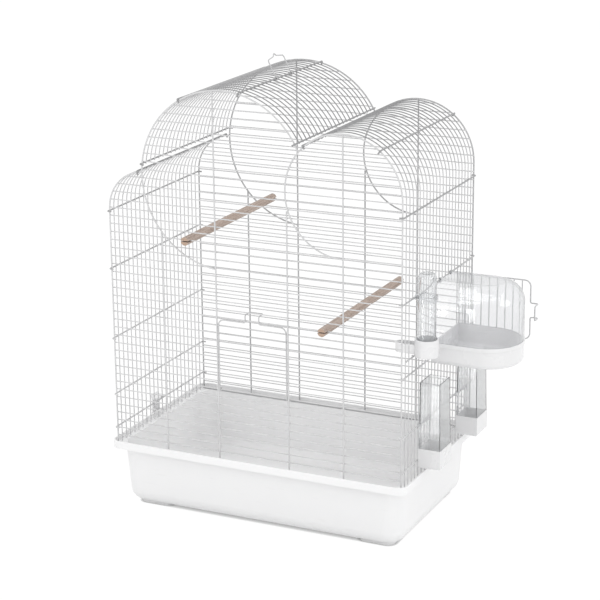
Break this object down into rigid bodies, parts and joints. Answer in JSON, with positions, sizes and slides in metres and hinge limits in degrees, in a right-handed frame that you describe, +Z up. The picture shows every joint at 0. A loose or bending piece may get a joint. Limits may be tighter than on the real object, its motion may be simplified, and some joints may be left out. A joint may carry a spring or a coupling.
{
  "type": "bird cage",
  "caption": "Wire bird cage with arched vaults on a deep plastic tub, with hinged doors, an outside bath, a drinker, seed feeders, wooden perches and a carry handle.",
  "frame": {"origin": "on the floor, at the middle of the pad under the centre of the tub", "axes": "+X to the cage's right as seen from its front door, +Y to its back, +Z up"},
  "size_m": [0.6677, 0.325, 0.7548],
  "materials": {
    "white_wire": "white powder-coated steel wire",
    "white_plastic": "white moulded plastic, satin",
    "clear_plastic": null,
    "beech": "bare turned dowel",
    "steel_pin": "plain steel"
  },
  "bodies": {
    "cage": {"base_tub": "white_plastic", "left_latch_pin": "steel_pin", "right_latch_pin": "steel_pin", "front_frame": "white_wire", "front_bars": "white_wire", "back_frame": "white_wire", "back_bars": "white_wire", "left_end_bars": "white_wire", "left_end_cross_wires": "white_wire", "roof_bars": "white_wire", "roof_cross_wires": "white_wire", "right_end_bars": "white_wire", "right_end_cross_wires": "white_wire", "left_perch": "beech", "right_perch": "beech"},
    "front_door": {"front_door_frame": "white_wire", "front_door_bars": "white_wire"},
    "side_door": {"side_door_frame": "white_wire", "side_door_bars": "white_wire"},
    "handle": {"carry_handle": "white_wire"},
    "left_lever": {"left_latch": "white_plastic"},
    "right_lever": {"right_latch": "white_plastic"},
    "bath": {"bath_tray": "white_plastic", "bath_hood": "clear_plastic"},
    "front_feeder": {"front_feeder_trough": "white_plastic", "front_feeder_hopper": "clear_plastic"},
    "rear_feeder": {"rear_feeder_trough": "white_plastic", "rear_feeder_hopper": "clear_plastic"},
    "drinker": {"drinker_cup": "white_plastic", "drinker_clip": "clear_plastic"},
    "tube": {"drinker_tube": "clear_plastic"}
  },
  "joints": [
    {"name": "front_door_hinge", "type": "hinge", "parent": "cage", "child": "front_door", "pos_m": [-0.0012, -0.15035, 0.2318], "axis": [1, 0, 0], "range_deg": [0, 160]},
    {"name": "side_door_hinge", "type": "hinge", "parent": "cage", "child": "side_door", "pos_m": [0.2555, 0.08318, 0.35275], "axis": [0, 0, 1], "range_deg": [0, 70]},
    {"name": "handle_swing", "type": "hinge", "parent": "cage", "child": "handle", "pos_m": [-0.01754, 0.00693, 0.71924], "axis": [0, -1, 0], "range_deg": [-118, 44]},
    {"name": "left_latch_pivot", "type": "hinge", "parent": "cage", "child": "left_lever", "pos_m": [-0.269, 0, 0.111], "axis": [0, -1, 0], "range_deg": [0, 60]},
    {"name": "right_latch_pivot", "type": "hinge", "parent": "cage", "child": "right_lever", "pos_m": [0.269, 0, 0.111], "axis": [0, 1, 0], "range_deg": [0, 60]},
    {"name": "bath_pull", "type": "slide", "parent": "cage", "child": "bath", "axis": [0.9659, -0.2588, 0], "range_m": [0, 0.15]},
    {"name": "front_feeder_pull", "type": "slide", "parent": "cage", "child": "front_feeder", "axis": [1, 0, 0], "range_m": [0, 0.08]},
    {"name": "rear_feeder_pull", "type": "slide", "parent": "cage", "child": "rear_feeder", "axis": [1, 0, 0], "range_m": [0, 0.08]},
    {"name": "drinker_pull", "type": "slide", "parent": "cage", "child": "drinker", "axis": [1, 0, 0], "range_m": [0, 0.1]},
    {"name": "tube_lift", "type": "slide", "parent": "drinker", "child": "tube", "axis": [0, 0, 1], "range_m": [0, 0.06]}
  ]
}
